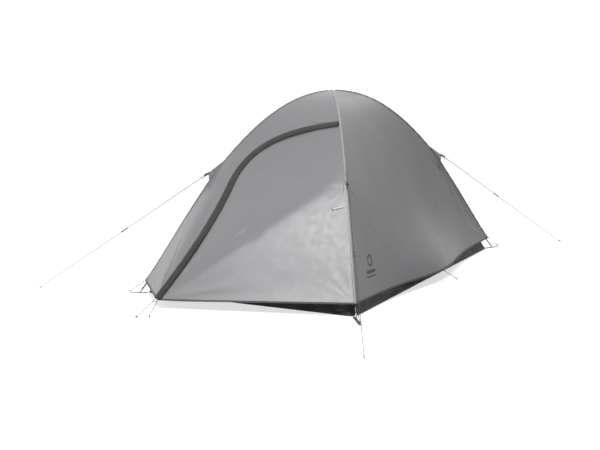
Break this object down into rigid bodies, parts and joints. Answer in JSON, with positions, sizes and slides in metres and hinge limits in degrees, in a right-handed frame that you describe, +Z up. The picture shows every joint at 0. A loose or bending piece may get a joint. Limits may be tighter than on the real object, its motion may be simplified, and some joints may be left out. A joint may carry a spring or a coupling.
{
  "type": "dome tent",
  "caption": "Pitched two-person double-wall dome tent with crossed poles, inner tent, fly sheet, pegged porch, arched zip door and guy-lines.",
  "frame": {"origin": "middle of the underside of the groundsheet, on the ground", "axes": "+Z up, -Y out of the porch and both doors, +X to the right of the doors as seen from outside, looking along +Y"},
  "size_m": [2.2958, 3.3359, 1.1],
  "materials": {
    "fly_fabric": "coated plain-weave polyester, satin",
    "dark_fabric": "charcoal woven polyester",
    "groundsheet_fabric": "black woven polyethylene, glossy",
    "inner_fabric": "breathable polyester",
    "fibreglass": "black fibreglass rod with metal ferrules",
    "black_plastic": "moulded",
    "webbing": "woven webbing",
    "peg_steel": "galvanised wire",
    "cord": "braided cord"
  },
  "bodies": {
    "tent": {"fly_shell": "fly_fabric", "zip_chain_fly": "dark_fabric", "pole_a_section_1": "fibreglass", "pole_a_section_2": "fibreglass", "pole_a_section_3": "fibreglass", "pole_a_section_4": "fibreglass", "pole_a_section_5": "fibreglass", "pole_b_section_1": "fibreglass", "pole_b_section_2": "fibreglass", "pole_b_section_3": "fibreglass", "pole_b_section_4": "fibreglass", "pole_b_section_5": "fibreglass", "groundsheet": "groundsheet_fabric", "inner_canopy": "inner_fabric", "corner_strap_front_left": "webbing", "corner_peg_front_left": "peg_steel", "corner_cord_front_left": "cord", "corner_strap_front_right": "webbing", "corner_peg_front_right": "peg_steel", "corner_cord_front_right": "cord", "corner_strap_back_right": "webbing", "corner_peg_back_right": "peg_steel", "corner_cord_back_right": "cord", "corner_strap_back_left": "webbing", "corner_peg_back_left": "peg_steel", "corner_cord_back_left": "cord", "guy_tab_front_left": "webbing", "guy_line_front_left": "cord", "guy_peg_front_left": "peg_steel", "guy_tab_front_right": "webbing", "guy_line_front_right": "cord", "guy_peg_front_right": "peg_steel", "guy_tab_back_right": "webbing", "guy_line_back_right": "cord", "guy_peg_back_right": "peg_steel", "guy_tab_back_left": "webbing", "guy_line_back_left": "cord", "guy_peg_back_left": "peg_steel", "porch_cord_left": "cord", "porch_peg_left": "peg_steel", "porch_cord_right": "cord", "porch_peg_right": "peg_steel", "side_cord_right": "cord", "side_peg_right": "peg_steel", "side_cord_left": "cord", "side_peg_left": "peg_steel"},
    "fly_door_panel": {"fly_door": "fly_fabric", "storm_flap": "dark_fabric", "zip_chain_door": "dark_fabric", "door_tie": "cord"},
    "inner_door_panel": {"inner_door": "inner_fabric"},
    "zip_slider_body": {"zip_slider": "black_plastic"},
    "zip_pull_body": {"zip_pull": "webbing"},
    "inner_slider_body": {"inner_zip_slider": "black_plastic"},
    "runner_front_left": {"guy_runner_front_left": "black_plastic"},
    "runner_front_right": {"guy_runner_front_right": "black_plastic"},
    "runner_back_right": {"guy_runner_back_right": "black_plastic"},
    "runner_back_left": {"guy_runner_back_left": "black_plastic"}
  },
  "joints": [
    {"name": "fly_door_hinge", "type": "hinge", "parent": "tent", "child": "fly_door_panel", "pos_m": [0.45756, -0.76528, 0.56318], "axis": [-0.3154, 0.5276, 0.7888], "range_deg": [0, 90]},
    {"name": "inner_door_fold", "type": "hinge", "parent": "tent", "child": "inner_door_panel", "pos_m": [0, -1.007, 0.115], "axis": [-1, 0, 0], "range_deg": [0, 48]},
    {"name": "zip_slider_run", "type": "slide", "parent": "tent", "child": "zip_slider_body", "axis": [0.2237, 0.7122, 0.6654], "range_m": [0, 0.3]},
    {"name": "zip_pull_swing", "type": "hinge", "parent": "zip_slider_body", "child": "zip_pull_body", "pos_m": [-0.3795, -1.3575, 0.0717], "axis": [0, -0.6833, 0.7302], "range_deg": [-15, 15]},
    {"name": "inner_slider_run", "type": "slide", "parent": "tent", "child": "inner_slider_body", "axis": [0, 0.544, 0.8391], "range_m": [0, 0.12]},
    {"name": "runner_front_left_slide", "type": "slide", "parent": "tent", "child": "runner_front_left", "axis": [-0.6945, -0.4608, -0.5526], "range_m": [-0.3, 0.4]},
    {"name": "runner_front_right_slide", "type": "slide", "parent": "tent", "child": "runner_front_right", "axis": [0.4188, -0.7785, -0.4676], "range_m": [-0.3, 0.4]},
    {"name": "runner_back_right_slide", "type": "slide", "parent": "tent", "child": "runner_back_right", "axis": [0.5044, 0.6626, -0.5537], "range_m": [-0.3, 0.4]},
    {"name": "runner_back_left_slide", "type": "slide", "parent": "tent", "child": "runner_back_left", "axis": [-0.5684, 0.6227, -0.5378], "range_m": [-0.3, 0.4]}
  ]
}
